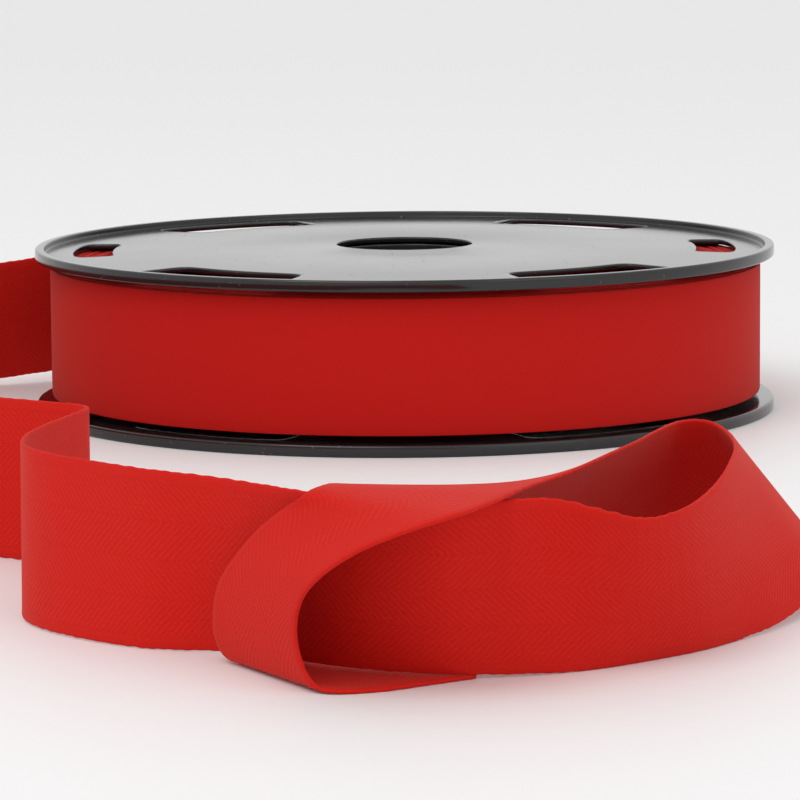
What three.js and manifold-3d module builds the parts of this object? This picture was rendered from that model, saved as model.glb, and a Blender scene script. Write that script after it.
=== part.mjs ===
// A reel of red twill tape lying on its side, with its loose end standing in folds in front of it.
// Millimetres, +Z up. The origin is on the surface, under the middle of the whole.
// Every size and place below is given from the reel's own axis, and the last lines move the whole to the origin.
import * as THREE from "three";
import { mergeVertices } from "three/addons/utils/BufferGeometryUtils.js";
import Module from "manifold-3d";

const wasm = await Module();
wasm.setup();

// Reel sizes
const FLANGE_RADIUS = 72;
const REEL_HEIGHT = 32;
const RIM_HEIGHT = 2.2;
const RIM_WIDTH = 1.8;
const PLATE_THICKNESS = 1;
const PLATE_DIP_AT_BORE = 0.1;
const PLATE_DIP_AT_RIM = RIM_HEIGHT - PLATE_THICKNESS;
const BORE_RADIUS = 13.2;
const HUB_RADIUS = 17;
const PIECE_GAP = 0.3;
const ROUND_STEPS = 96;

// Windows moulded through each flange
const ARC_WINDOW = { inner: 53.5, outer: 67, from: 20, to: 50 };
const END_WINDOW = { inner: 57, outer: 64.5, from: -12, to: 12 };
const WINDOW_STEPS = 10;

// Tape sizes
const TAPE_WIDTH = 25;
const TAPE_THICKNESS = 1;
const WOUND_RADIUS = 68.7;
const WOUND_TAPER = 0.4;
const WOUND_FOOT = (REEL_HEIGHT - TAPE_WIDTH) / 2;
const WOUND_RISE = 1;
const WOUND_SHOULDER = 65;
const STEPS_PER_ROW = 5;
const STRIPS_ACROSS = 5;

// Where the loose end lies against the last turn, as angles about the axis in degrees
const LAST_TURN = { from: 80, to: 112, rows: 8 };

// The loose end, a row for each place where it bends: the lower selvedge and the upper selvedge.
// From the roll it swings out to the left, comes back, doubles over and runs along the front.
// It rounds the right-hand loop, climbs over itself, drops to the surface and ends under its own edge.
const LOOSE_END = [
  { place: "off the reel", foot: [-44, 57.5, 3.5], head: [-44, 57.5, 28.5] },
  { place: "dropping", foot: [-59, 51, 2.8], head: [-59, 49.5, 27.8] },
  { place: "dropping", foot: [-72, 43.5, 2], head: [-72, 38.5, 26.5] },
  { place: "dropping", foot: [-84, 35.5, 1.2], head: [-84, 29.5, 25.5] },
  { place: "left swing", foot: [-95, 26, 0.6], head: [-94.5, 20.5, 25] },
  { place: "left swing", foot: [-103, 10, 0.4], head: [-101.5, 6.5, 25.1] },
  { place: "left swing", foot: [-107.5, -18, 0.2], head: [-106.5, -19, 25.2] },
  { place: "left swing", foot: [-107, -62, 0.2], head: [-106, -62, 25.2] },
  { place: "left swing", foot: [-102, -110, 0.2], head: [-101.5, -109, 25.2] },
  { place: "left swing", foot: [-90, -151, 0.2], head: [-89.5, -150, 25.2] },
  { place: "coming back", foot: [-77, -167.5, 0.2], head: [-77, -166, 25.2] },
  { place: "coming back", foot: [-63, -175.5, 0.2], head: [-63, -174.5, 25.2] },
  { place: "coming back", foot: [-54.5, -180.5, 0.2], head: [-54, -180.5, 25.2] },
  { place: "first fold", foot: [-49.8, -183.5, 0.2], head: [-49.8, -183.5, 25.2] },
  { place: "first fold", foot: [-48.5, -187, 0.2], head: [-48.5, -187, 25.2] },
  { place: "first fold", foot: [-49.4, -191.5, 0.2], head: [-49.4, -191.5, 25.2] },
  { place: "doubled back", foot: [-51.5, -198.5, 0.2], head: [-51.5, -198.5, 25.2] },
  { place: "doubled back", foot: [-54.2, -209, 0.2], head: [-54.2, -209, 25.2] },
  { place: "left bend", foot: [-55.4, -219, 0.2], head: [-55.4, -218, 25.2] },
  { place: "left bend", foot: [-54.8, -228, 0.2], head: [-54.6, -226, 25.2] },
  { place: "front run", foot: [-51.5, -236, 0.2], head: [-51.2, -233, 25.2] },
  { place: "front run", foot: [-45, -244, 0.2], head: [-45, -240.5, 25.2] },
  { place: "front run", foot: [-36, -250.5, 0.3], head: [-36, -250.5, 25.3] },
  { place: "front run", foot: [-27, -253.8, 0.9], head: [-27, -258, 25.6] },
  { place: "front run", foot: [-20, -258, 1.7], head: [-20, -265, 25.6] },
  { place: "behind the cross-over", foot: [-13, -265.5, 2], head: [-13, -273.5, 25.6] },
  { place: "behind the cross-over", foot: [-5, -271, 2], head: [-5, -281, 24.9] },
  { place: "behind the cross-over", foot: [4, -273.5, 2], head: [4, -284, 24.7] },
  { place: "behind the cross-over", foot: [12, -273, 1.7], head: [12, -282.5, 24.8] },
  { place: "front run", foot: [19.5, -270, 0.9], head: [18.5, -279, 24.2] },
  { place: "front run", foot: [26, -266.5, 0.4], head: [25, -277.5, 23] },
  { place: "front run", foot: [33, -261.5, 0.3], head: [31, -274.5, 21.6] },
  { place: "front run", foot: [40, -255, 0.3], head: [37.4, -267, 22] },
  { place: "right loop", foot: [46.5, -246.5, 0.6], head: [42.4, -254.5, 24] },
  { place: "right loop", foot: [53.5, -236, 1.5], head: [45.4, -238.5, 25] },
  { place: "right loop", foot: [60.5, -221, 4], head: [46.3, -224.5, 24.6] },
  { place: "right loop", foot: [61, -206, 5], head: [46, -212.5, 24.6] },
  { place: "right loop", foot: [53, -196, 4.5], head: [44, -207, 25] },
  { place: "right loop", foot: [40, -194.5, 3.5], head: [40, -207, 25.2] },
  { place: "back run", foot: [29, -202.5, 5], head: [36.4, -215.5, 25] },
  { place: "back run", foot: [19.5, -215, 8.5], head: [32, -229, 25] },
  { place: "back run", foot: [8, -234, 13.5], head: [26.2, -245, 25.2] },
  { place: "climbing", foot: [-3, -253.5, 21], head: [20.6, -260.5, 25.2] },
  { place: "climbing", foot: [-8, -265.5, 25.6], head: [17, -270, 26] },
  { place: "cross-over", foot: [-10.5, -272, 27.2], head: [14.2, -278.5, 26.8] },
  { place: "cross-over", foot: [-12, -275.5, 27.3], head: [11.8, -284, 26.8] },
  { place: "cross-over", foot: [-13.2, -277.5, 26.2], head: [6, -292, 25.6] },
  { place: "coming down", foot: [-16, -275, 23.5], head: [-0.2, -293.5, 23.2] },
  { place: "coming down", foot: [-19.6, -270.5, 19.8], head: [-6.4, -291, 20.2] },
  { place: "coming down", foot: [-23, -266, 15.6], head: [-11.3, -288, 16.6] },
  { place: "coming down", foot: [-25.4, -262.5, 11.5], head: [-14, -284.5, 12.8] },
  { place: "coming down", foot: [-26.4, -260.5, 7.2], head: [-14.8, -282.6, 8.4] },
  { place: "coming down", foot: [-26.2, -260.6, 3.4], head: [-13.9, -282.4, 4] },
  { place: "turned under", foot: [-24.6, -261.6, 1.1], head: [-12, -283.2, 1.3] },
  { place: "turned under", foot: [-21.6, -262.4, 0.6], head: [-8.6, -283.8, 0.6] },
  { place: "under the front run", foot: [-16.5, -260, 0.5], head: [-3.2, -281.2, 0.5] },
  { place: "under the front run", foot: [-10.5, -256, 0.5], head: [2.7, -277.2, 0.5] },
  { place: "cut end", foot: [-4.5, -252, 0.5], head: [8.7, -273.2, 0.5] },
];

const BLACK_PLASTIC = new THREE.MeshStandardMaterial({ color: 0x141416, roughness: 0.22, metalness: 0 });
const RED_TAPE = new THREE.MeshStandardMaterial({ color: 0xb3170f, roughness: 0.9, metalness: 0 });

// Turns a closed geometry into a manifold-3d solid, and back.
function toSolid(geometry) {
  const bare = new THREE.BufferGeometry().setAttribute("position", geometry.getAttribute("position"));
  if (geometry.index) bare.setIndex(geometry.index);
  const merged = mergeVertices(bare, 1e-4);
  return new wasm.Manifold(
    new wasm.Mesh({
      numProp: 3,
      vertProperties: new Float32Array(merged.attributes.position.array),
      triVerts: new Uint32Array(merged.index.array),
    }),
  );
}

function toGeometry(solid) {
  const mesh = solid.getMesh();
  return new THREE.BufferGeometry()
    .setAttribute("position", new THREE.BufferAttribute(mesh.vertProperties, 3))
    .setIndex(new THREE.BufferAttribute(mesh.triVerts, 1));
}

function named(name, geometry, material) {
  const mesh = new THREE.Mesh(geometry, material);
  mesh.name = name;
  return mesh;
}

// A ring about Z from [radius, z] corners given anticlockwise, seen with the axis on the left.
function ring(corners) {
  const profile = [...corners, corners[0]].map(([radius, z]) => new THREE.Vector2(radius, z));
  return new THREE.LatheGeometry(profile, ROUND_STEPS).rotateX(Math.PI / 2);
}

// A block shaped like a slice of a ring, tall enough to cut right through a flange.
function windowCutter({ inner, outer, from, to }, turn) {
  const angle = (share) => THREE.MathUtils.degToRad(turn + from + (to - from) * share);
  const shares = Array.from({ length: WINDOW_STEPS + 1 }, (_, i) => i / WINDOW_STEPS);
  const along = (radius) => (share) =>
    new THREE.Vector2(radius * Math.cos(angle(share)), radius * Math.sin(angle(share)));
  const outline = [...shares.map(along(outer)), ...shares.reverse().map(along(inner))];
  return new THREE.ExtrudeGeometry(new THREE.Shape(outline), { depth: 3 * RIM_HEIGHT, bevelEnabled: false })
    .translate(0, 0, -RIM_HEIGHT);
}

// One flange with its raised rim outwards, lying with the rim's outer face on Z = 0.
// Its plate is a very flat cone, almost level with the rim at the bore and sunk a little below it at the rim.
function flange() {
  const disc = toSolid(
    ring([
      [BORE_RADIUS, PLATE_DIP_AT_BORE],
      [FLANGE_RADIUS - RIM_WIDTH, PLATE_DIP_AT_RIM],
      [FLANGE_RADIUS - RIM_WIDTH, 0],
      [FLANGE_RADIUS, 0],
      [FLANGE_RADIUS, RIM_HEIGHT],
      [FLANGE_RADIUS - RIM_WIDTH, RIM_HEIGHT],
      [BORE_RADIUS, PLATE_DIP_AT_BORE + PLATE_THICKNESS],
    ]),
  );
  const mirrored = { ...ARC_WINDOW, from: -ARC_WINDOW.to, to: -ARC_WINDOW.from };
  const cutters = [
    ...[90, 270].flatMap((turn) => [windowCutter(ARC_WINDOW, turn), windowCutter(mirrored, turn)]),
    ...[0, 180].map((turn) => windowCutter(END_WINDOW, turn)),
  ];
  return cutters.reduce((solid, cutter) => solid.subtract(toSolid(cutter)), disc);
}

// The hub's ends keep a gap to the coned plates, measured where the plates come nearest, at the hub's outside.
function hub() {
  const slope = (PLATE_DIP_AT_RIM - PLATE_DIP_AT_BORE) / (FLANGE_RADIUS - RIM_WIDTH - BORE_RADIUS);
  const foot = PLATE_DIP_AT_BORE + (HUB_RADIUS - BORE_RADIUS) * slope + PLATE_THICKNESS + PIECE_GAP;
  const top = REEL_HEIGHT - foot;
  return ring([
    [BORE_RADIUS, foot],
    [HUB_RADIUS, foot],
    [HUB_RADIUS, top],
    [BORE_RADIUS, top],
  ]);
}

// All the turns on the hub as one solid. The inner turns stand a little higher than the outermost ones,
// and the side is a little narrower at its foot than at its top.
function woundTape() {
  const top = WOUND_FOOT + TAPE_WIDTH;
  return ring([
    [HUB_RADIUS + PIECE_GAP, WOUND_FOOT + WOUND_RISE],
    [WOUND_SHOULDER, WOUND_FOOT + WOUND_RISE],
    [WOUND_RADIUS - WOUND_TAPER, WOUND_FOOT],
    [WOUND_RADIUS, top],
    [WOUND_SHOULDER, top + WOUND_RISE],
    [HUB_RADIUS + PIECE_GAP, top + WOUND_RISE],
  ]);
}

// The rows that lie against the last turn, found from its radius.
function lastTurnRows() {
  const radius = WOUND_RADIUS + PIECE_GAP + TAPE_THICKNESS / 2;
  return Array.from({ length: LAST_TURN.rows }, (_, i) => {
    const share = i / LAST_TURN.rows;
    const angle = THREE.MathUtils.degToRad(LAST_TURN.from + (LAST_TURN.to - LAST_TURN.from) * share);
    const at = [radius * Math.cos(angle), radius * Math.sin(angle)];
    return { foot: [...at, WOUND_FOOT], head: [...at, WOUND_FOOT + TAPE_WIDTH] };
  });
}

// A smooth run of [lower selvedge, upper selvedge] pairs, each exactly one tape width apart.
function selvedges() {
  const rows = [...lastTurnRows(), ...LOOSE_END];
  const curves = ["foot", "head"].map(
    (edge) => new THREE.CatmullRomCurve3(rows.map((row) => new THREE.Vector3(...row[edge])), false, "catmullrom"),
  );
  const steps = (rows.length - 1) * STEPS_PER_ROW;
  return Array.from({ length: steps + 1 }, (_, i) => {
    const [foot, head] = curves.map((curve) => curve.getPoint(i / steps));
    const middle = foot.clone().add(head).multiplyScalar(0.5);
    const half = head.clone().sub(foot).setLength(TAPE_WIDTH / 2);
    return [middle.clone().sub(half), middle.clone().add(half)];
  });
}

// The loose end: the strip between the two selvedges, thickened equally to both of its sides.
function looseEnd() {
  const pairs = selvedges();
  const last = pairs.length - 1;
  const across = Array.from({ length: STRIPS_ACROSS + 1 }, (_, j) => j / STRIPS_ACROSS);
  const middle = pairs.map(([foot, head]) => across.map((share) => foot.clone().lerp(head, share)));
  const sideways = middle.map((row, i) => {
    const width = pairs[i][1].clone().sub(pairs[i][0]);
    return row.map((_, j) => {
      const before = middle[Math.max(i - 1, 0)][j];
      const after = middle[Math.min(i + 1, last)][j];
      return after.clone().sub(before).cross(width).setLength(TAPE_THICKNESS / 2);
    });
  });
  const points = [];
  const push = (side) =>
    middle.forEach((row, i) => row.forEach((p, j) => points.push(p.clone().addScaledVector(sideways[i][j], side))));
  push(1);
  push(-1);
  return stripGeometry(points, pairs.length, STRIPS_ACROSS + 1);
}

// Closes two grids of points, one for each face, into a thin solid with walls round all four edges.
function stripGeometry(points, rows, columns) {
  const index = [];
  const back = rows * columns;
  const quad = (a, b, c, d) => index.push(a, b, c, a, c, d);
  for (let i = 0; i < rows - 1; i++) {
    for (let j = 0; j < columns - 1; j++) {
      const a = i * columns + j;
      const b = a + columns;
      quad(a, b, b + 1, a + 1);
      quad(back + a, back + a + 1, back + b + 1, back + b);
    }
    const low = i * columns;
    const high = low + columns - 1;
    quad(low, back + low, back + low + columns, low + columns);
    quad(high, high + columns, back + high + columns, back + high);
  }
  for (let j = 0; j < columns - 1; j++) {
    const end = (rows - 1) * columns + j;
    quad(j, j + 1, back + j + 1, back + j);
    quad(end, back + end, back + end + 1, end + 1);
  }
  const positions = new Float32Array(points.flatMap((p) => p.toArray()));
  return new THREE.BufferGeometry()
    .setAttribute("position", new THREE.BufferAttribute(positions, 3))
    .setIndex(index);
}

const flangeSolid = flange();
const upperFlange = named("upper_flange", toGeometry(flangeSolid), BLACK_PLASTIC);
upperFlange.rotation.x = Math.PI;
upperFlange.position.z = REEL_HEIGHT;

const reelOfTape = new THREE.Group();
reelOfTape.add(
  named("lower_flange", toGeometry(flangeSolid), BLACK_PLASTIC),
  upperFlange,
  named("hub", hub(), BLACK_PLASTIC),
  named("wound_tape", woundTape(), RED_TAPE),
  named("loose_end", looseEnd(), RED_TAPE),
);

const extent = new THREE.Box3().setFromObject(reelOfTape);
const middle = extent.getCenter(new THREE.Vector3());
reelOfTape.position.set(-middle.x, -middle.y, -extent.min.z);

export default reelOfTape;
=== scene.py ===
"""A reel of red herringbone twill tape, lying on its side, with its loose end standing in folds before it.

Shapes are worked out in millimetres from the reel's own axis, with the surface it lies on at height 0.
Each one is put into its mesh in metres, moved to where the reel stands.
"""

import bmesh
import bpy
import numpy as np
from mathutils import Matrix, Vector


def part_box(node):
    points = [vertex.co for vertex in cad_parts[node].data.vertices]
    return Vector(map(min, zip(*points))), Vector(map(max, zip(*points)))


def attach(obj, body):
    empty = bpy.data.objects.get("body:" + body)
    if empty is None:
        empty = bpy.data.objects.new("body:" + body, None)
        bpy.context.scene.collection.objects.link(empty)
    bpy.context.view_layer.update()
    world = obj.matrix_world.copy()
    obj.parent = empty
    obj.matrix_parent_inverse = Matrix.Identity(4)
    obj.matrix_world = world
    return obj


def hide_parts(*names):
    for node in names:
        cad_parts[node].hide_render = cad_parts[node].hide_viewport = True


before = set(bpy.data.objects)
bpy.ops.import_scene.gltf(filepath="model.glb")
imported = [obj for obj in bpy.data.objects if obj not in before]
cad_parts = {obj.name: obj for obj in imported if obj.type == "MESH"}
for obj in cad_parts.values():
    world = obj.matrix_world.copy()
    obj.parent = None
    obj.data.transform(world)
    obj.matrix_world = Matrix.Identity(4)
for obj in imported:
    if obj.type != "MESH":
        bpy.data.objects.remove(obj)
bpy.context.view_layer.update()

MM = 0.001

# Reel sizes
FLANGE_RADIUS = 72.0
REEL_HEIGHT = 32.0
RIM_HEIGHT = 2.2
RIM_WIDTH = 1.8
PLATE_THICKNESS = 1.0
PLATE_DIP_AT_BORE = 0.1
PLATE_DIP_AT_RIM = RIM_HEIGHT - PLATE_THICKNESS
BORE_RADIUS = 13.2
HUB_RADIUS = 17.0
PIECE_GAP = 0.3

# How far each moulded edge is rounded
RIM_INSIDE_ROUND = 0.35
RIM_OUTSIDE_ROUND = 0.5
BORE_OUTER_ROUND = 0.3
BORE_INNER_ROUND = 0.25
HUB_ROUND = 0.3
HUB_STEP_DEGREES = 3
MOULDED_SHARP_DEGREES = 40

# The band of each flange that holds its windows, and how finely it is divided
BAND_INNER = 50.5
BAND_OUTER = 69.0
BAND_STEPS = 14
ROUND_STEPS = 4
WINDOW_EDGE = 0.3
WINDOW_EDGE_POINTS = 4
WINDOW_RING_SHARES = (0, 0.4, 0.8)
CORNER_POWER = 7.0
ARC_WINDOW = {"inner": 53.5, "outer": 67.0, "half_angle": 15}
END_WINDOW = {"inner": 57.0, "outer": 64.5, "half_angle": 12}
WINDOWS = [
    {"centre": 0, "tile_half": 16, "shape": END_WINDOW},
    {"centre": 55, "tile_half": 19, "shape": ARC_WINDOW},
    {"centre": 125, "tile_half": 19, "shape": ARC_WINDOW},
    {"centre": 180, "tile_half": 16, "shape": END_WINDOW},
    {"centre": 235, "tile_half": 19, "shape": ARC_WINDOW},
    {"centre": 305, "tile_half": 19, "shape": ARC_WINDOW},
]

# Tape sizes
TAPE_WIDTH = 25.0
TAPE_THICKNESS = 0.55
SELVEDGE_BEAD = 0.05
BEAD_FROM_EDGE = 0.5
BEAD_SPREAD = 0.5
SELVEDGE_WANDER = 0.04
WANDER_REACH = 0.9
UPPER_SELVEDGE_SHIFT = 311
WEFT_LOOPS = [
    {"length": 2.3, "height": 1.0, "drift": 1},
    {"length": 4.1, "height": 0.7, "drift": -1},
]
WEFT_DRIFTS = [
    {"length": 3.1, "height": 2.0},
    {"length": 7.7, "height": 1.3},
]
TAPE_STEP = 0.5
STEPS_A_ROW = 16
STRIPS_ACROSS = 20
SELVEDGE_POINTS = 3
CLEAR_OF_SURFACE = 0.02
TAPE_FOOT = (REEL_HEIGHT - TAPE_WIDTH) / 2

# The winding, from the hub out to where the last turn becomes the loose end
LAST_TURN_ANGLE = 80.0
LAST_TURN_RADIUS = 69.25
LAID_CLEARANCE = 0.15
TURN_PITCH = 0.55
TURN_THICKNESS = 0.5
TURN_STEPS = 96
TURN_WANDER = 0.2
TURN_SEED = 7
TURN_SHARP_DEGREES = 60
WOUND_RISE = 1.0
WOUND_SHOULDER = 65.0

# A turn's section: how far out, as a share of its thickness, and how high over its foot
TURN_SECTION = [
    {"out": -0.5, "up": 0.6},
    {"out": -0.5, "up": 24.4},
    {"out": -0.28, "up": 24.9},
    {"out": 0.28, "up": 24.9},
    {"out": 0.5, "up": 24.4},
    {"out": 0.5, "up": 0.6},
    {"out": 0.28, "up": 0.1},
    {"out": -0.28, "up": 0.1},
]

# The quads that close the strip of turns at its ends, by the corners of its section
TURN_CAP = [[0, 1, 4, 5], [1, 2, 3, 4], [0, 5, 6, 7]]

# Where the loose end lies against the last turn, as angles in degrees
LAID_ON = {"from": LAST_TURN_ANGLE, "to": 112.0, "rows": 4}

# The loose end, a row for each place where it bends: the lower selvedge and the upper selvedge.
# From the roll it swings out to the left, comes back, doubles over and runs along the front.
# It rounds the right-hand loop, climbs over itself, drops to the surface and ends under its own edge.
LOOSE_END = [
    {"place": "off the reel", "foot": (-44, 57.5, 3.5), "head": (-44, 57.5, 28.5)},
    {"place": "dropping", "foot": (-59, 51, 2.8), "head": (-59, 49.5, 27.8)},
    {"place": "dropping", "foot": (-72, 43.5, 2), "head": (-72, 38.5, 26.5)},
    {"place": "dropping", "foot": (-84, 35.5, 1.2), "head": (-84, 29.5, 25.5)},
    {"place": "left swing", "foot": (-95, 26, 0.5), "head": (-94.5, 20.5, 25)},
    {"place": "left swing", "foot": (-103, 10, 0.2), "head": (-101.5, 6.5, 25)},
    {"place": "left swing", "foot": (-107.5, -18, 0.1), "head": (-106.5, -19, 25.1)},
    {"place": "left swing", "foot": (-107, -62, 0.1), "head": (-106, -62, 25.1)},
    {"place": "left swing", "foot": (-102, -110, 0.1), "head": (-101.5, -109, 25.1)},
    {"place": "left swing", "foot": (-90, -151, 0.1), "head": (-89.5, -150, 25.1)},
    {"place": "coming back", "foot": (-77, -167.5, 0.1), "head": (-77, -166, 25.1)},
    {"place": "coming back", "foot": (-63, -175.5, 0.1), "head": (-63, -174.5, 25.1)},
    {"place": "coming back", "foot": (-54.5, -180.5, 0.1), "head": (-54, -180.5, 25.1)},
    {"place": "first fold", "foot": (-49.8, -183.5, 0.1), "head": (-49.8, -183.5, 25.1)},
    {"place": "first fold", "foot": (-48.5, -187, 0.1), "head": (-48.5, -187, 25.1)},
    {"place": "first fold", "foot": (-49.4, -191.5, 0.1), "head": (-49.4, -191.5, 25.1)},
    {"place": "doubled back", "foot": (-51.5, -198.5, 0.1), "head": (-51.5, -198.5, 25.1)},
    {"place": "doubled back", "foot": (-54.2, -209, 0.1), "head": (-54.2, -209, 25.1)},
    {"place": "left bend", "foot": (-55.4, -219, 0.1), "head": (-55.4, -218, 25.1)},
    {"place": "left bend", "foot": (-54.8, -228, 0.1), "head": (-54.6, -226, 25.1)},
    {"place": "front run", "foot": (-51.5, -236, 0.1), "head": (-51.2, -233, 25.1)},
    {"place": "front run", "foot": (-45, -244, 0.1), "head": (-45, -240.5, 25.1)},
    {"place": "front run", "foot": (-36, -250.5, 0.1), "head": (-36, -250.5, 25.1)},
    {"place": "front run", "foot": (-27, -253.8, 0.3), "head": (-27, -257.5, 25.1)},
    {"place": "front run", "foot": (-20, -258.5, 0.8), "head": (-20, -264.5, 25)},
    {"place": "behind the cross-over", "foot": (-13, -265.5, 0.9), "head": (-13, -272, 25)},
    {"place": "behind the cross-over", "foot": (-5, -270.5, 0.9), "head": (-5, -278, 24.7)},
    {"place": "behind the cross-over", "foot": (4, -273.5, 0.9), "head": (4, -281.5, 24.5)},
    {"place": "behind the cross-over", "foot": (12, -272.5, 0.6), "head": (12, -278.5, 24.6)},
    {"place": "front run", "foot": (19.5, -270, 0.3), "head": (18.5, -275.5, 24.3)},
    {"place": "front run", "foot": (26, -266.5, 0.2), "head": (25, -276, 22.8)},
    {"place": "front run", "foot": (33, -261, 0.2), "head": (31, -273.5, 21.2)},
    {"place": "front run", "foot": (40, -254.5, 0.2), "head": (37.4, -266, 21.6)},
    {"place": "right loop", "foot": (46.5, -246, 0.4), "head": (42.4, -253.5, 23.4)},
    {"place": "right loop", "foot": (53.5, -236, 1.2), "head": (45.4, -238, 24.8)},
    {"place": "right loop", "foot": (60.5, -221, 4), "head": (46.4, -224.5, 24.6)},
    {"place": "right loop", "foot": (61, -206, 5), "head": (46, -212.5, 24.6)},
    {"place": "right loop", "foot": (53, -196, 4.5), "head": (44, -207, 25)},
    {"place": "right loop", "foot": (40, -194.5, 3.5), "head": (40, -207, 25)},
    {"place": "back run", "foot": (29, -202.5, 5), "head": (36.4, -215.5, 25)},
    {"place": "back run", "foot": (19.5, -215, 8.5), "head": (32, -229, 25)},
    {"place": "back run", "foot": (8, -234, 13.5), "head": (26.2, -245, 25)},
    {"place": "climbing", "foot": (-3, -253, 20.5), "head": (20.4, -260, 25)},
    {"place": "climbing", "foot": (-8, -265, 24.4), "head": (16.8, -269, 25.2)},
    {"place": "cross-over", "foot": (-10.5, -271.5, 25.8), "head": (14.2, -277, 25.5)},
    {"place": "cross-over", "foot": (-12.2, -275, 25.9), "head": (11.6, -283, 25.4)},
    {"place": "cross-over", "foot": (-13.6, -276, 25.1), "head": (5.6, -291, 24.7)},
    {"place": "coming down", "foot": (-16, -273.5, 23.2), "head": (-0.4, -292.5, 23)},
    {"place": "coming down", "foot": (-19.8, -269.8, 19.7), "head": (-6.5, -290.5, 20.2)},
    {"place": "coming down", "foot": (-23, -266, 15.6), "head": (-11.3, -288, 16.6)},
    {"place": "coming down", "foot": (-25.4, -262.5, 11.5), "head": (-14, -284.5, 12.8)},
    {"place": "coming down", "foot": (-26.4, -260.5, 7.2), "head": (-14.8, -282.6, 8.4)},
    {"place": "coming down", "foot": (-26.3, -260, 3.4), "head": (-14, -282, 4)},
    {"place": "turned under", "foot": (-24.8, -260.6, 0.9), "head": (-12.2, -282.3, 1)},
    {"place": "turned under", "foot": (-22, -261.5, 0.4), "head": (-9, -283, 0.4)},
    {"place": "under the front run", "foot": (-16.5, -260, 0.3), "head": (-3.2, -281.2, 0.3)},
    {"place": "under the front run", "foot": (-10.5, -256, 0.3), "head": (2.7, -277.2, 0.3)},
    {"place": "cut end", "foot": (-4.5, -252, 0.3), "head": (8.7, -273.2, 0.3)},
]

# The weave's sizes in mm, and how far each feature lifts the cloth and so lightens its colour, the lower
# places darker as painted shade
WEAVE = {"Width": TAPE_WIDTH, "Selvedge": 1.7, "Row": 5.4, "Rib": 1.05, "Thread": 0.42}
WEFT_STRETCH = 1.3
RIB_SHARPNESS = 1.3
RIB_LIFT = 0.45
CROSSING_LIFT = 0.25
FUZZ_LIFT = 0.5
PLAIN_LIFT = 0.2
GROOVE_DEPTH = 0.3
GROOVE_FROM = 0.44
SELVEDGE_BLEND = 0.25
WEAVE_WANDER = 0.6
WANDER_SCALE = (0.4, 0.8, 1)
FUZZ_SCALE = (2.2, 2.8, 1)
TONE_SCALE = (0.12, 2.4, 1)
TONE_SHARE = 0.3
YARN_ROUGHNESS = 0.6
YARN_RANGE = (0.3, 0.7)

# Whole rows added before counting, so that the count is never below nought
ROWS_BELOW = 20

# The two copies of the tape: standing free, and wound on the reel with its weave drawn flat and its colours
# darker as painted shade
# In each twill the furrow colour is the rib colour darkened: painted shade in the weave's hollows
TWILLS = {
    "loose": {
        "name": "Red herringbone twill",
        "furrow": (0.53, 0.008, 0.004),
        "rib": (0.65, 0.013, 0.007),
        "relief": 0.55,
    },
    "wound": {
        # Darker than the loose tape's colours: painted shade on the wound roll
        "name": "Red twill wound, painted shade",
        "furrow": (0.46, 0.006, 0.0035),
        "rib": (0.5, 0.007, 0.004),
        "relief": 0.08,
    },
}
TWILL_ROUGHNESS = 0.85
TWILL_RELIEF_METRES = 0.0001
TWILL_SHEEN = 0.12
TWILL_SHEEN_ROUGHNESS = 0.4
TWILL_SHEEN_TINT = (1.0, 0.42, 0.32, 1)
TWILL_SPECULAR = 0.18

# The plastic, and what handling leaves on it. The flat colour stands for both where no pattern is drawn.
PLASTIC_FLAT_COLOUR = (0.012, 0.012, 0.013)
PLASTIC_FLAT_ROUGHNESS = 0.2
PLASTIC_COLOUR = (0.011, 0.011, 0.012)
PLASTIC_LEAST_ROUGHNESS = 0.1
PLASTIC_DULLING = 0.12
PLASTIC_RELIEF = 0.12
PLASTIC_RELIEF_METRES = 0.0003
PLASTIC_IOR = 1.52
DUST_COLOUR = (0.16, 0.15, 0.14)
HANDLING = {"Scuffs": 0.5, "Dust": 0.5}
PATCH_SCALE = 60
SCUFF_SCALE = (900, 60, 60)
SCUFF_RANGE = (0.66, 0.72)
SPECK_SCALE = 1400
SPECK_RANGE = (0.72, 0.78)
PATCH_LIFT = 0.6
SCUFF_CUT = -0.4

# The studio, in metres and watts
FLOOR_HALF = 7.0
FLOOR_COLOUR = (0.862, 0.86, 0.86)
FLOOR_ROUGHNESS = 0.55
FLOOR_SPECULAR = 0.3
SKY_STRENGTH = 0.87
LIGHTS = [
    {
        "name": "key",
        "place": (-0.5, -0.85, 1.3),
        "target": (0, -0.1, 0),
        "size": (0.9, 0.9),
        "power": 6.5,
    },
    {
        "name": "fill",
        "place": (1.0, -1.1, 0.7),
        "target": (0, -0.1, 0),
        "size": (0.9, 0.9),
        "power": 1.2,
    },
    {
        "name": "back panel",
        "place": (0, 2.6, 0.62),
        "target": (0, 0.1, 0),
        "size": (4.0, 1.0),
        "power": 1,
    },
]

# The camera, placed in mm from the reel's axis, with its angles in radians
CAMERA_PLACE = (-1.1, -818.0, 109.6)
CAMERA_PITCH = 0.132
CAMERA_ROLL = -0.008
CAMERA_NEAR = 0.01
CAMERA_FAR = 60.0
FOCAL_PIXELS = 4200.0
PHOTO_PIXELS = 800.0
SENSOR_WIDTH = 36.0


def reel_axis():
    """The place of the reel's axis on the surface, in millimetres: the middle of the lower flange's box."""
    low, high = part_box("lower_flange")
    return np.array([(low.x + high.x) / 2, (low.y + high.y) / 2, low.z]) / MM


AXIS = reel_axis()


# Meshes

def grid_quads(rows, columns, close_rows=False, close_columns=False):
    """The quads of a grid of points numbered row by row. Closing a way joins its last line to its first."""
    i = np.arange(rows if close_rows else rows - 1)[:, None]
    j = np.arange(columns if close_columns else columns - 1)[None, :]
    below, right = (i + 1) % rows, (j + 1) % columns
    corners = [i * columns + j, below * columns + j, below * columns + right, i * columns + right]
    return np.stack([c + 0 * (i + j) for c in corners], axis=-1).reshape(-1, 4)


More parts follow.
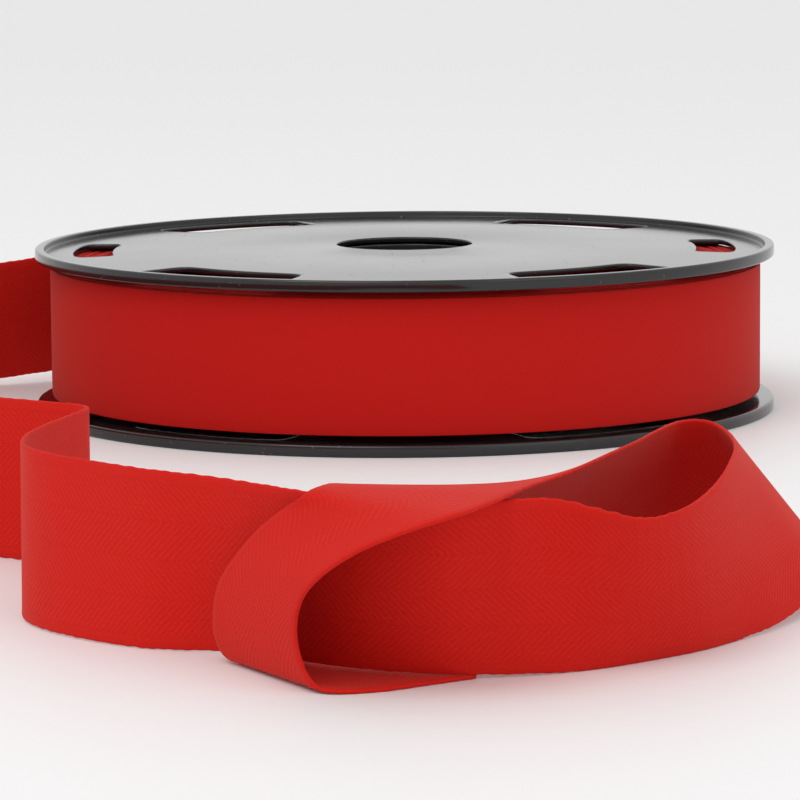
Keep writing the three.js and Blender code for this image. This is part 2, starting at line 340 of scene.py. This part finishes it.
def surface(*patches):
    """Several (points, quads) patches as one: stacked points, and quads numbered on from patch to patch."""
    points = np.concatenate([p.reshape(-1, 3) for p, _ in patches])
    starts = np.cumsum([0] + [p.reshape(-1, 3).shape[0] for p, _ in patches[:-1]])
    quads = np.concatenate([q + start for (_, q), start in zip(patches, starts)])
    return points, quads


def joined(points, quads, apart=1e-3):
    """The same surface with the points that share a place made one, so a quad may name a point twice."""
    places = np.round(points / apart).astype(np.int64)
    _, first, which = np.unique(places, axis=0, return_index=True, return_inverse=True)
    return points[first], which.reshape(-1)[quads]


def make_piece(name, points, quads, material, layers=None):
    """A smooth-shaded object from points in millimetres about the reel's axis, riding on the one body.

    A quad that names a point twice in a row becomes a triangle.
    """
    mesh = bpy.data.meshes.new(name)
    faces = [[c for n, c in enumerate(q) if c != q[n - 1]] for q in quads.tolist()]
    places = (np.asarray(points, dtype=float) + AXIS) * MM
    mesh.from_pydata(places.reshape(-1, 3).tolist(), [], faces)
    for layer, values in (layers or {}).items():
        kept = mesh.attributes.new(layer, "FLOAT_VECTOR", "POINT")
        kept.data.foreach_set("vector", values.astype(np.float32).ravel())
    mesh.polygons.foreach_set("use_smooth", np.ones(len(mesh.polygons), dtype=bool))
    mesh.materials.append(material)
    mesh.validate()
    mesh.update()
    piece = bpy.data.objects.new(name, mesh)
    bpy.context.scene.collection.objects.link(piece)
    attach(piece, "root")
    return piece


def sharpen(piece, degrees):
    """Marks the edges that turn by more than this many degrees, so that flats shade flat."""
    piece.data.set_sharp_from_angle(angle=np.radians(degrees))


def rounded(corners):
    """A path through (across, height, radius) corners, each one a parabola that starts its radius away."""
    path = []
    t = np.linspace(0, 1, ROUND_STEPS + 1)[:, None]
    for n, (x, z, radius) in enumerate(corners):
        here = np.array([x, z])
        if radius == 0:
            path.append(here[None, :])
            continue
        before = np.array(corners[n - 1][:2])
        after = np.array(corners[(n + 1) % len(corners)][:2])
        start = here + (before - here) * radius / np.linalg.norm(before - here)
        end = here + (after - here) * radius / np.linalg.norm(after - here)
        path.append((1 - t) ** 2 * start + 2 * t * (1 - t) * here + t ** 2 * end)
    return np.concatenate(path)


def lathe(profile, angles, close_profile=False):
    """The profile's [radius, height] points carried round Z: x = r cos a, y = r sin a, z = height."""
    a = np.radians(angles)[:, None]
    radius, height = profile[:, 0][None, :], profile[:, 1][None, :]
    points = np.stack([radius * np.cos(a), radius * np.sin(a), height + 0 * a], axis=-1)
    return points, grid_quads(len(angles), len(profile), close_rows=True, close_columns=close_profile)


# The moulded flanges

def tile_outline(half_angle):
    """Points round a tile of the band, a degree or a band step apart, in shares of its half sizes."""
    along = np.linspace(-1, 1, 2 * half_angle + 1)
    up = np.linspace(-1, 1, BAND_STEPS + 1)
    low = np.stack([along, -np.ones_like(along)], 1)[:-1]
    right = np.stack([np.ones_like(up), up], 1)[:-1]
    high = np.stack([along[::-1], np.ones_like(along)], 1)[:-1]
    left = np.stack([-np.ones_like(up), up[::-1]], 1)[:-1]
    return np.concatenate([low, right, high, left])


def plate_dip(radius):
    """The height of the lower plate's outer face, a very flat cone that slopes from the bore to the rim."""
    share = (radius - BORE_RADIUS) / (FLANGE_RADIUS - RIM_WIDTH - BORE_RADIUS)
    return PLATE_DIP_AT_BORE + (PLATE_DIP_AT_RIM - PLATE_DIP_AT_BORE) * share


def window_tile(window):
    """A tile of the band with its window: rings that shrink to the window's outline and then go through.

    The window's outline lies on rays from its middle, at the share where |x/a|^p + |y/b|^p = 1, an oblong
    with rounded corners. The wall's two edges are rounded, and the rings come back out on the inner face.
    """
    shape, half = window["shape"], window["tile_half"]
    middle_radius = (BAND_INNER + BAND_OUTER) / 2
    half_height = (BAND_OUTER - BAND_INNER) / 2
    outline = tile_outline(half)
    centre = np.array([0.0, ((shape["inner"] + shape["outer"]) / 2 - middle_radius) / half_height])
    sizes = np.array([shape["half_angle"] / half, (shape["outer"] - shape["inner"]) / 2 / half_height])
    ray = outline - centre
    reach = (np.abs(ray / sizes) ** CORNER_POWER).sum(1) ** (-1 / CORNER_POWER)
    hole = centre + ray * reach[:, None]
    to_mm = np.array([np.radians(half) * middle_radius, half_height])
    outward = (ray * to_mm) / np.linalg.norm(ray * to_mm, axis=1, keepdims=True)
    turn = np.linspace(0, np.pi / 2, WINDOW_EDGE_POINTS)
    brink = hole + outward * WINDOW_EDGE / to_mm
    rings = [(outline * (1 - share) + brink * share, 0) for share in WINDOW_RING_SHARES]
    edge = [(WINDOW_EDGE * (1 - np.sin(a)), WINDOW_EDGE * (1 - np.cos(a))) for a in turn]
    rings += [(hole + outward * away / to_mm, deep) for away, deep in edge]
    rings += [(hole + outward * away / to_mm, PLATE_THICKNESS - deep) for away, deep in edge[::-1]]
    rings += [(ring, PLATE_THICKNESS) for ring, _ in rings[len(WINDOW_RING_SHARES) - 1::-1]]
    shares = np.stack([ring for ring, _ in rings])
    angle = np.radians(window["centre"] + shares[..., 0] * half)
    radius = middle_radius + shares[..., 1] * half_height
    height = plate_dip(radius) + np.array([deep for _, deep in rings])[:, None]
    points = np.stack([radius * np.cos(angle), radius * np.sin(angle), height], axis=-1)
    return points, grid_quads(len(rings), len(outline), close_columns=True)


def spoke_tile(start, end, deep):
    """A plain piece of the band between two windows, a polar grid this deep under the plate's outer face."""
    angle = np.radians(np.arange(start, end + 1))[:, None]
    radius = np.linspace(BAND_INNER, BAND_OUTER, BAND_STEPS + 1)[None, :]
    height = plate_dip(radius) + deep + 0 * angle
    points = np.stack([radius * np.cos(angle), radius * np.sin(angle), height], axis=-1)
    return points, grid_quads(points.shape[0], points.shape[1])


def flange_surface():
    """The lower flange: a coned plate with a proud rim below it, a bore and the band of windows between."""
    degrees = np.arange(360)
    rim = rounded([
        (BAND_OUTER, plate_dip(BAND_OUTER), 0),
        (FLANGE_RADIUS - RIM_WIDTH, PLATE_DIP_AT_RIM, RIM_INSIDE_ROUND),
        (FLANGE_RADIUS - RIM_WIDTH, 0, RIM_INSIDE_ROUND),
        (FLANGE_RADIUS, 0, RIM_OUTSIDE_ROUND),
        (FLANGE_RADIUS, RIM_HEIGHT, RIM_OUTSIDE_ROUND),
        (BAND_OUTER, plate_dip(BAND_OUTER) + PLATE_THICKNESS, 0),
    ])
    bore = rounded([
        (BAND_INNER, plate_dip(BAND_INNER) + PLATE_THICKNESS, 0),
        (BORE_RADIUS, PLATE_DIP_AT_BORE + PLATE_THICKNESS, BORE_INNER_ROUND),
        (BORE_RADIUS, PLATE_DIP_AT_BORE, BORE_OUTER_ROUND),
        (BAND_INNER, plate_dip(BAND_INNER), 0),
    ])
    patches = [lathe(rim, degrees), lathe(bore, degrees)]
    patches += [window_tile(window) for window in WINDOWS]
    for window, following in zip(WINDOWS, WINDOWS[1:] + WINDOWS[:1]):
        start = window["centre"] + window["tile_half"]
        end = (following["centre"] - following["tile_half"] - start) % 360 + start
        patches.append(spoke_tile(start, end, 0))
        points, quads = spoke_tile(start, end, PLATE_THICKNESS)
        patches.append((points, quads[:, ::-1]))
    return joined(*surface(*patches))


def facing_out(piece):
    """Turns every face of a closed piece outwards."""
    work = bmesh.new()
    work.from_mesh(piece.data)
    bmesh.ops.recalc_face_normals(work, faces=work.faces)
    work.to_mesh(piece.data)
    work.free()


def make_flanges(material):
    """The lower flange, and the same moulding turned over at the top."""
    points, quads = flange_surface()
    lower = make_piece("moulded_flange_low", points, quads, material)
    turned_over = points * [1, 1, -1] + [0, 0, REEL_HEIGHT]
    upper = make_piece("moulded_flange_high", turned_over, quads[:, ::-1], material)
    for piece, node in ((lower, "lower_flange"), (upper, "upper_flange")):
        facing_out(piece)
        sharpen(piece, MOULDED_SHARP_DEGREES)
        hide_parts(node)


def make_hub(material):
    """The tube between the flanges, its ends rounded where they meet the plates."""
    low = plate_dip(HUB_RADIUS) + PLATE_THICKNESS + PIECE_GAP
    high = REEL_HEIGHT - low
    profile = rounded([
        (BORE_RADIUS, low, HUB_ROUND),
        (HUB_RADIUS, low, HUB_ROUND),
        (HUB_RADIUS, high, HUB_ROUND),
        (BORE_RADIUS, high, HUB_ROUND),
    ])
    points, quads = surface(lathe(profile, np.arange(0, 360, HUB_STEP_DEGREES), close_profile=True))
    hub = make_piece("moulded_hub", points, quads, material)
    facing_out(hub)
    sharpen(hub, MOULDED_SHARP_DEGREES)
    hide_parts("hub")


# The tape

def smooth_rows(rows, steps):
    """A uniform Catmull-Rom curve through the rows, with `steps` pieces from each row to the next."""
    ends = np.concatenate([[2 * rows[0] - rows[1]], rows, [2 * rows[-1] - rows[-2]]])
    t = np.arange(steps)[None, :, None] / steps
    a, b, c, d = (ends[n:len(ends) - 3 + n][:, None, :] for n in range(4))
    bend = 2 * b + (c - a) * t + (2 * a - 5 * b + 4 * c - d) * t ** 2 + (3 * b - a - 3 * c + d) * t ** 3
    return np.concatenate([0.5 * bend.reshape(-1, rows.shape[1]), rows[-1:]])


def even_steps(rows, spacing):
    """The same rows evenly spaced along their middle line, with the distance of each one from the first."""
    middle = (rows[:, :3] + rows[:, 3:]) / 2
    gone = np.concatenate([[0], np.cumsum(np.linalg.norm(np.diff(middle, axis=0), axis=1))])
    wanted = np.linspace(0, gone[-1], int(gone[-1] / spacing) + 1)
    return np.stack([np.interp(wanted, gone, column) for column in rows.T], axis=1), wanted


def laid_rows():
    """The rows laid against the last turn, a little outside its radius so that they clear the turn below."""
    share = np.arange(LAID_ON["rows"]) / LAID_ON["rows"]
    angle = np.radians(LAID_ON["from"] + (LAID_ON["to"] - LAID_ON["from"]) * share)
    radius = LAST_TURN_RADIUS + LAID_CLEARANCE + TURN_PITCH * (np.degrees(angle) - LAST_TURN_ANGLE) / 360
    foot = np.stack([radius * np.cos(angle), radius * np.sin(angle), TAPE_FOOT + 0 * angle], axis=1)
    return np.concatenate([foot, foot + [0, 0, TAPE_WIDTH]], axis=1)


def tape_section(half_thickness):
    """The tape's closed section as (share across, side) points, its faces joined by rounded selvedges."""
    across = np.linspace(0, 1, STRIPS_ACROSS + 1)
    inset = half_thickness / TAPE_WIDTH
    face = inset + across * (1 - 2 * inset)
    turn = np.linspace(0, np.pi, SELVEDGE_POINTS + 2)[1:-1]
    high = np.stack([1 - inset + inset * np.sin(turn), np.cos(turn)], 1)
    low = np.stack([inset - inset * np.sin(turn), -np.cos(turn)], 1)
    front = np.stack([face, np.ones_like(face)], 1)
    back = np.stack([face[::-1], -np.ones_like(face)], 1)
    return np.concatenate([front, high, back, low])


def weft_loops(along):
    """How far the weft's turns push a selvedge out, in mm: a sum of sines whose phase drifts slowly."""
    drift = sum(wave["height"] * np.sin(along / wave["length"]) for wave in WEFT_DRIFTS)
    phases = [2 * np.pi * along / wave["length"] + wave["drift"] * drift for wave in WEFT_LOOPS]
    loops = sum(wave["height"] * np.sin(phase) for wave, phase in zip(WEFT_LOOPS, phases))
    return SELVEDGE_WANDER * loops


def tape_points(foot, head, along, section):
    """The tape's section carried along the strip between its two selvedges.

    point = foot + (head - foot) * share + side * normal * half thickness, where the normal is the cross
    product of the strip's two directions and the thickness swells by the bead near each selvedge. The weft's
    turns push the selvedges in and out, and a row that would reach under the surface is lifted onto it.
    """
    share, side = section[:, 0], section[:, 1]
    middle = foot[:, None, :] + (head - foot)[:, None, :] * share[None, :, None]
    across_way = (head - foot) / np.linalg.norm(head - foot, axis=1, keepdims=True)
    forward = np.gradient(middle, axis=0)
    normal = np.cross(forward, (head - foot)[:, None, :])
    normal /= np.linalg.norm(normal, axis=2, keepdims=True)
    from_edge = np.minimum(share, 1 - share) * TAPE_WIDTH
    thicker = SELVEDGE_BEAD * np.exp(-((from_edge - BEAD_FROM_EDGE) / BEAD_SPREAD) ** 2)
    swell = TAPE_THICKNESS / 2 + thicker / 2
    points = middle + normal * (side * swell)[None, :, None]
    at_edge = np.sign(share - 0.5) * np.exp(-(from_edge / WANDER_REACH) ** 2)
    lower_loops = weft_loops(along)[:, None]
    upper_loops = weft_loops(along + UPPER_SELVEDGE_SHIFT)[:, None]
    loops = np.where(share[None, :] < 0.5, lower_loops, upper_loops)
    points += across_way[:, None, :] * (loops * at_edge[None, :])[:, :, None]
    under = np.clip(CLEAR_OF_SURFACE - points[..., 2].min(axis=1), 0, None)
    points[..., 2] += under[:, None]
    return points


def tape_solid(foot, head, along):
    """The strip as a closed surface, with the place of each point along and across the tape in mm."""
    section = tape_section(TAPE_THICKNESS / 2)
    points = tape_points(foot, head, along, section)
    rows, columns = points.shape[:2]
    quads = grid_quads(rows, columns, close_columns=True)
    pairs = np.arange(columns // 2 - 1)
    cap = np.stack([pairs, pairs + 1, columns - 2 - pairs, columns - 1 - pairs], axis=1)
    caps = [cap[:, ::-1], cap + (rows - 1) * columns]
    nought = np.zeros((rows, columns))
    place = np.stack([along[:, None] + nought, section[:, 0] * TAPE_WIDTH + nought, nought], axis=-1)
    return points.reshape(-1, 3), np.concatenate([quads, *caps]), place.reshape(-1, 3)


def make_loose_end(material):
    """The strip from the last turn to the cut end, each row made one tape width long about its middle."""
    rows = [np.concatenate([row["foot"], row["head"]]) for row in LOOSE_END]
    rows = np.concatenate([laid_rows(), np.array(rows, dtype=float)])
    rows, along = even_steps(smooth_rows(rows, STEPS_A_ROW), TAPE_STEP)
    foot, head = rows[:, :3], rows[:, 3:]
    middle = (foot + head) / 2
    half = (head - foot) / np.linalg.norm(head - foot, axis=1, keepdims=True) * TAPE_WIDTH / 2
    points, quads, place = tape_solid(middle - half, middle + half, along)
    tape = make_piece("loose_tape", points, quads, material, {"tape_place": place})
    facing_out(tape)
    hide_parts("loose_end")


def spiral():
    """The turn's number, angle and radius at each step from the hub outwards, the pitch added each turn."""
    inner = HUB_RADIUS + PIECE_GAP + TURN_PITCH / 2
    turns = (LAST_TURN_RADIUS - inner) / TURN_PITCH
    turn = np.linspace(0, turns, int(turns * TURN_STEPS) + 1)
    angle = np.radians(LAST_TURN_ANGLE) - 2 * np.pi * (turns - turn)
    return turn, angle, inner + TURN_PITCH * turn


def turn_lift(turn, radius):
    """How much higher each step stands: the rise inside the shoulder, and each turn's own unevenness."""
    rng = np.random.default_rng(TURN_SEED)
    whole = np.arange(int(turn[-1]) + 2)
    level = np.interp(turn, whole, rng.uniform(-TURN_WANDER, TURN_WANDER, len(whole)))
    inwards = np.clip((LAST_TURN_RADIUS - radius) / (LAST_TURN_RADIUS - WOUND_SHOULDER), 0, 1)
    return WOUND_RISE * inwards ** 2 * (3 - 2 * inwards) + level


def make_winding(material):
    """Every turn of the tape on the hub, as one long strip on a spiral."""
    turn, angle, radius = spiral()
    along = np.cumsum(radius * 2 * np.pi / TURN_STEPS)
    section = np.array([(corner["out"], corner["up"]) for corner in TURN_SECTION])
    out = radius[:, None] + section[None, :, 0] * TURN_THICKNESS
    height = TAPE_FOOT + section[None, :, 1] + turn_lift(turn, radius)[:, None]
    points = np.stack([out * np.cos(angle)[:, None], out * np.sin(angle)[:, None], height], axis=-1)
    quads = grid_quads(len(turn), len(section), close_columns=True)
    last = (len(turn) - 1) * len(section)
    caps = np.array(TURN_CAP)
    quads = np.concatenate([quads, caps, caps[:, ::-1] + last])
    place = np.stack([along[:, None] + 0 * out, section[None, :, 1] + 0 * out, 0 * out], axis=-1)
    piece = make_piece("wound_turns", points.reshape(-1, 3), quads, material,
                       {"tape_place": place.reshape(-1, 3)})
    facing_out(piece)
    sharpen(piece, TURN_SHARP_DEGREES)
    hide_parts("wound_tape")


# Materials

def group(name, numbers, outputs):
    """A new shader node group that takes a place and the named numbers, with its input and output nodes."""
    made = bpy.data.node_groups.new(name, "ShaderNodeTree")
    made.interface.new_socket("Place", in_out="INPUT", socket_type="NodeSocketVector")
    for label, value in numbers.items():
        socket = made.interface.new_socket(label, in_out="INPUT", socket_type="NodeSocketFloat")
        socket.default_value = value
    for label in outputs:
        made.interface.new_socket(label, in_out="OUTPUT", socket_type="NodeSocketFloat")
    return made, made.nodes.new("NodeGroupInput"), made.nodes.new("NodeGroupOutput")


def math(tree, operation, *values, clamp=False):
    """A math node on numbers or sockets, and its result."""
    node = tree.nodes.new("ShaderNodeMath")
    node.operation = operation
    node.use_clamp = clamp
    for n, value in enumerate(values):
        put(tree, node.inputs[n], value)
    return node.outputs[0]


def put(tree, socket, value):
    """Joins a socket to another, or sets it to a number or colour."""
    if isinstance(value, bpy.types.NodeSocket):
        tree.links.new(value, socket)
    else:
        socket.default_value = value


def smooth(tree, value, low, high):
    """0 below `low`, 1 above `high`, and a smooth step between them."""
    node = tree.nodes.new("ShaderNodeMapRange")
    node.interpolation_type = "SMOOTHSTEP"
    for label, given in (("Value", value), ("From Min", low), ("From Max", high)):
        put(tree, node.inputs[label], given)
    return node.outputs["Result"]


def noise(tree, vector, scale, detail=3.0, roughness=0.5):
    """Noise from 0 to 1 at the vector's place."""
    node = tree.nodes.new("ShaderNodeTexNoise")
    put(tree, node.inputs["Vector"], vector)
    node.inputs["Scale"].default_value = scale
    node.inputs["Detail"].default_value = detail
    node.inputs["Roughness"].default_value = roughness
    return node.outputs["Fac"]


def stretched(tree, vector, scale):
    """The vector with each axis multiplied by its own number."""
    node = tree.nodes.new("ShaderNodeVectorMath")
    node.operation = "MULTIPLY"
    put(tree, node.inputs[0], vector)
    node.inputs[1].default_value = scale
    return node.outputs[0]


def wave(tree, value, period):
    """A cosine of the value, from 0 to 1, once each period."""
    turns = math(tree, "DIVIDE", value, period)
    cosine = math(tree, "COSINE", math(tree, "MULTIPLY", turns, 2 * np.pi))
    return math(tree, "MULTIPLY_ADD", cosine, 0.5, 0.5)


def rib_pattern(tree, given, along, across, row):
    """Diagonal ribs that turn over from one row to the next: 0 in a furrow and 1 on a rib."""
    parity = math(tree, "MODULO", math(tree, "FLOOR", row), 2)
    direction = math(tree, "MULTIPLY_ADD", parity, 2, -1)
    diagonal = math(tree, "ADD", along, math(tree, "MULTIPLY", across, direction))
    rib = wave(tree, diagonal, given.outputs["Rib"])
    return math(tree, "POWER", rib, RIB_SHARPNESS)


def row_grooves(tree, row):
    """1 inside a row, and less by the groove's depth where one row meets the next."""
    from_middle = math(tree, "ABSOLUTE", math(tree, "SUBTRACT", math(tree, "FRACT", row), 0.5))
    inside = smooth(tree, from_middle, 0.5, GROOVE_FROM)
    return math(tree, "MULTIPLY_ADD", inside, GROOVE_DEPTH, 1 - GROOVE_DEPTH)


def selvedge_mask(tree, given, across):
    """1 on the two plain selvedges and 0 between them."""
    edge = math(tree, "MINIMUM", across, math(tree, "SUBTRACT", given.outputs["Width"], across))
    blend_from = math(tree, "SUBTRACT", given.outputs["Selvedge"], SELVEDGE_BLEND)
    return math(tree, "SUBTRACT", 1, smooth(tree, edge, blend_from, given.outputs["Selvedge"]))


def herringbone_group():
    """The weave at a place in mm: rows of diagonal ribs that turn back row by row, and plain selvedges."""
    tree, given, out = group("Herringbone weave", WEAVE, ["Height", "Thread tone"])
    place = given.outputs["Place"]
    apart = tree.nodes.new("ShaderNodeSeparateXYZ")
    tree.links.new(place, apart.inputs[0])
    across = apart.outputs["Y"]
    wander = noise(tree, stretched(tree, place, WANDER_SCALE), 1.0)
    along = math(tree, "MULTIPLY_ADD", wander, WEAVE_WANDER, apart.outputs["X"])
    inside = math(tree, "SUBTRACT", across, given.outputs["Selvedge"])
    row = math(tree, "ADD", math(tree, "DIVIDE", inside, given.outputs["Row"]), ROWS_BELOW)
    rib = rib_pattern(tree, given, along, across, row)
    fuzz = noise(tree, stretched(tree, place, FUZZ_SCALE), 1.0, roughness=YARN_ROUGHNESS)
    fuzz = smooth(tree, fuzz, *YARN_RANGE)
    warp = wave(tree, across, given.outputs["Thread"])
    weft = wave(tree, along, math(tree, "MULTIPLY", given.outputs["Thread"], WEFT_STRETCH))
    body = math(tree, "MULTIPLY", rib, RIB_LIFT)
    body = math(tree, "MULTIPLY_ADD", math(tree, "MULTIPLY", rib, warp), CROSSING_LIFT, body)
    body = math(tree, "MULTIPLY_ADD", fuzz, FUZZ_LIFT, body)
    # The grooves lower the height, and with it the colour: painted shade between rows
    body = math(tree, "MULTIPLY", body, row_grooves(tree, row))
    plain = math(tree, "MULTIPLY_ADD", fuzz, FUZZ_LIFT, PLAIN_LIFT)
    plain = math(tree, "MULTIPLY_ADD", math(tree, "MULTIPLY", weft, warp), CROSSING_LIFT, plain)
    height = tree.nodes.new("ShaderNodeMix")
    put(tree, height.inputs["Factor"], selvedge_mask(tree, given, across))
    put(tree, height.inputs["A"], body)
    put(tree, height.inputs["B"], plain)
    tree.links.new(height.outputs["Result"], out.inputs["Height"])
    tone = noise(tree, stretched(tree, place, TONE_SCALE), 1.0, roughness=YARN_ROUGHNESS)
    tree.links.new(tone, out.inputs["Thread tone"])
    return tree


def use_group(tree, made, place):
    """A node of this group that works at the given place."""
    node = tree.nodes.new("ShaderNodeGroup")
    node.node_tree = made
    tree.links.new(place, node.inputs["Place"])
    return node


def new_material(name, colour, roughness):
    """A material with its node tree and its shader, set to a plain colour and roughness."""
    material = bpy.data.materials.new(name)
    material.use_nodes = True
    material.diffuse_color = (*colour, 1)
    shader = material.node_tree.nodes["Principled BSDF"]
    shader.inputs["Base Color"].default_value = (*colour, 1)
    shader.inputs["Roughness"].default_value = roughness
    return material, material.node_tree, shader


def mix_colours(tree, factor, first, second):
    """The first colour where the factor is 0 and the second where it is 1."""
    node = tree.nodes.new("ShaderNodeMix")
    node.data_type = "RGBA"
    put(tree, node.inputs["Factor"], factor)
    put(tree, node.inputs["A"], (*first, 1) if isinstance(first, tuple) else first)
    put(tree, node.inputs["B"], (*second, 1) if isinstance(second, tuple) else second)
    return node.outputs["Result"]


def bump(tree, height, strength, distance):
    """A normal bent by the height, whose full range counts as the distance in metres."""
    node = tree.nodes.new("ShaderNodeBump")
    node.inputs["Strength"].default_value = strength
    node.inputs["Distance"].default_value = distance
    tree.links.new(height, node.inputs["Height"])
    return node.outputs["Normal"]


def tape_material(weave, twill):
    """Red twill: furrows and row grooves darker than the ribs as painted shade, uneven threads, a soft nap.
    """
    material, tree, shader = new_material(twill["name"], twill["rib"], TWILL_ROUGHNESS)
    place = tree.nodes.new("ShaderNodeAttribute")
    place.attribute_name = "tape_place"
    cloth = use_group(tree, weave, place.outputs["Vector"])
    # The height picks between furrow and rib colours, so the hollows and row grooves carry painted shade
    ribs = mix_colours(tree, cloth.outputs["Height"], twill["furrow"], twill["rib"])
    tone = smooth(tree, cloth.outputs["Thread tone"], *YARN_RANGE)
    toned = mix_colours(tree, tone, twill["furrow"], ribs)
    tree.links.new(mix_colours(tree, TONE_SHARE, ribs, toned), shader.inputs["Base Color"])
    relief = bump(tree, cloth.outputs["Height"], twill["relief"], TWILL_RELIEF_METRES)
    tree.links.new(relief, shader.inputs["Normal"])
    shader.inputs["Sheen Weight"].default_value = TWILL_SHEEN
    shader.inputs["Sheen Roughness"].default_value = TWILL_SHEEN_ROUGHNESS
    shader.inputs["Sheen Tint"].default_value = TWILL_SHEEN_TINT
    shader.inputs["Specular IOR Level"].default_value = TWILL_SPECULAR
    return material


def handling_group():
    """What handling leaves at a place in metres: fine scuffs, dull patches and specks of dust."""
    tree, given, out = group("Handling marks", HANDLING, ["Dullness", "Dust mask", "Height"])
    place = given.outputs["Place"]
    patches = noise(tree, place, PATCH_SCALE, 4)
    lines = noise(tree, stretched(tree, place, SCUFF_SCALE), 1.0, 2)
    scuffs = math(tree, "MULTIPLY", smooth(tree, lines, *SCUFF_RANGE), given.outputs["Scuffs"])
    specks = noise(tree, place, SPECK_SCALE, 1)
    dust = math(tree, "MULTIPLY", smooth(tree, specks, *SPECK_RANGE), given.outputs["Dust"])
    dull_patches = math(tree, "MULTIPLY", patches, 0.5)
    dull_scuffs = math(tree, "MULTIPLY", scuffs, 0.5)
    height = math(tree, "MULTIPLY_ADD", patches, PATCH_LIFT, math(tree, "MULTIPLY", scuffs, SCUFF_CUT))
    tree.links.new(math(tree, "ADD", dull_patches, dull_scuffs, clamp=True), out.inputs["Dullness"])
    tree.links.new(dust, out.inputs["Dust mask"])
    tree.links.new(height, out.inputs["Height"])
    return tree


def plastic_material(marks):
    """Glossy black moulded plastic with faint scuffs and a little dust."""
    name = "Black moulded plastic"
    material, tree, shader = new_material(name, PLASTIC_FLAT_COLOUR, PLASTIC_FLAT_ROUGHNESS)
    place = tree.nodes.new("ShaderNodeTexCoord")
    handled = use_group(tree, marks, place.outputs["Object"])
    colour = mix_colours(tree, handled.outputs["Dust mask"], PLASTIC_COLOUR, DUST_COLOUR)
    tree.links.new(colour, shader.inputs["Base Color"])
    rough = math(tree, "MULTIPLY_ADD", handled.outputs["Dullness"], PLASTIC_DULLING, PLASTIC_LEAST_ROUGHNESS)
    tree.links.new(rough, shader.inputs["Roughness"])
    relief = bump(tree, handled.outputs["Height"], PLASTIC_RELIEF, PLASTIC_RELIEF_METRES)
    tree.links.new(relief, shader.inputs["Normal"])
    shader.inputs["IOR"].default_value = PLASTIC_IOR
    return material


# The studio

def make_floor():
    """One pale square that is both the surface and the background."""
    mesh = bpy.data.meshes.new("floor")
    signs = [(-1, -1), (1, -1), (1, 1), (-1, 1)]
    mesh.from_pydata([(x * FLOOR_HALF, y * FLOOR_HALF, 0) for x, y in signs], [], [(0, 1, 2, 3)])
    floor = bpy.data.objects.new("floor", mesh)
    bpy.context.scene.collection.objects.link(floor)
    material, _, shader = new_material("Pale surface", FLOOR_COLOUR, FLOOR_ROUGHNESS)
    shader.inputs["Specular IOR Level"].default_value = FLOOR_SPECULAR
    mesh.materials.append(material)


def area_light(name, place, target, size, power):
    """A white rectangle of light at a place, turned to face its target."""
    light = bpy.data.lights.new(name, "AREA")
    light.shape = "RECTANGLE"
    light.size, light.size_y = size
    light.energy = power
    lamp = bpy.data.objects.new(name, light)
    lamp.location = place
    lamp.rotation_euler = (Vector(target) - Vector(place)).to_track_quat("-Z", "Y").to_euler()
    bpy.context.scene.collection.objects.link(lamp)


def make_lights():
    """An even white sky and the studio's lights."""
    world = bpy.data.worlds.new("studio")
    world.use_nodes = True
    world.node_tree.nodes["Background"].inputs["Color"].default_value = (1, 1, 1, 1)
    world.node_tree.nodes["Background"].inputs["Strength"].default_value = SKY_STRENGTH
    bpy.context.scene.world = world
    for light in LIGHTS:
        area_light(**light)


def make_camera():
    """The camera at the photograph's angle: level with a small downward pitch and a slight roll."""
    data = bpy.data.cameras.new("camera")
    data.sensor_width = SENSOR_WIDTH
    data.lens = FOCAL_PIXELS / PHOTO_PIXELS * SENSOR_WIDTH
    data.clip_start, data.clip_end = CAMERA_NEAR, CAMERA_FAR
    camera = bpy.data.objects.new("camera", data)
    place = Matrix.Translation(Vector((np.array(CAMERA_PLACE) + [AXIS[0], AXIS[1], 0]) * MM))
    pitch = Matrix.Rotation(np.pi / 2 - CAMERA_PITCH, 4, "X")
    camera.matrix_world = place @ pitch @ Matrix.Rotation(CAMERA_ROLL, 4, "Z")
    bpy.context.scene.collection.objects.link(camera)
    bpy.context.scene.camera = camera


make_camera()
plastic = plastic_material(handling_group())
weave = herringbone_group()
loose_twill = tape_material(weave, TWILLS["loose"])
# The wound copy of the twill is darker: painted shade on the roll
wound_twill = tape_material(weave, TWILLS["wound"])
make_flanges(plastic)
make_hub(plastic)
make_winding(wound_twill)
make_loose_end(loose_twill)
make_floor()
make_lights()
bpy.context.scene.view_settings.view_transform = "Standard"
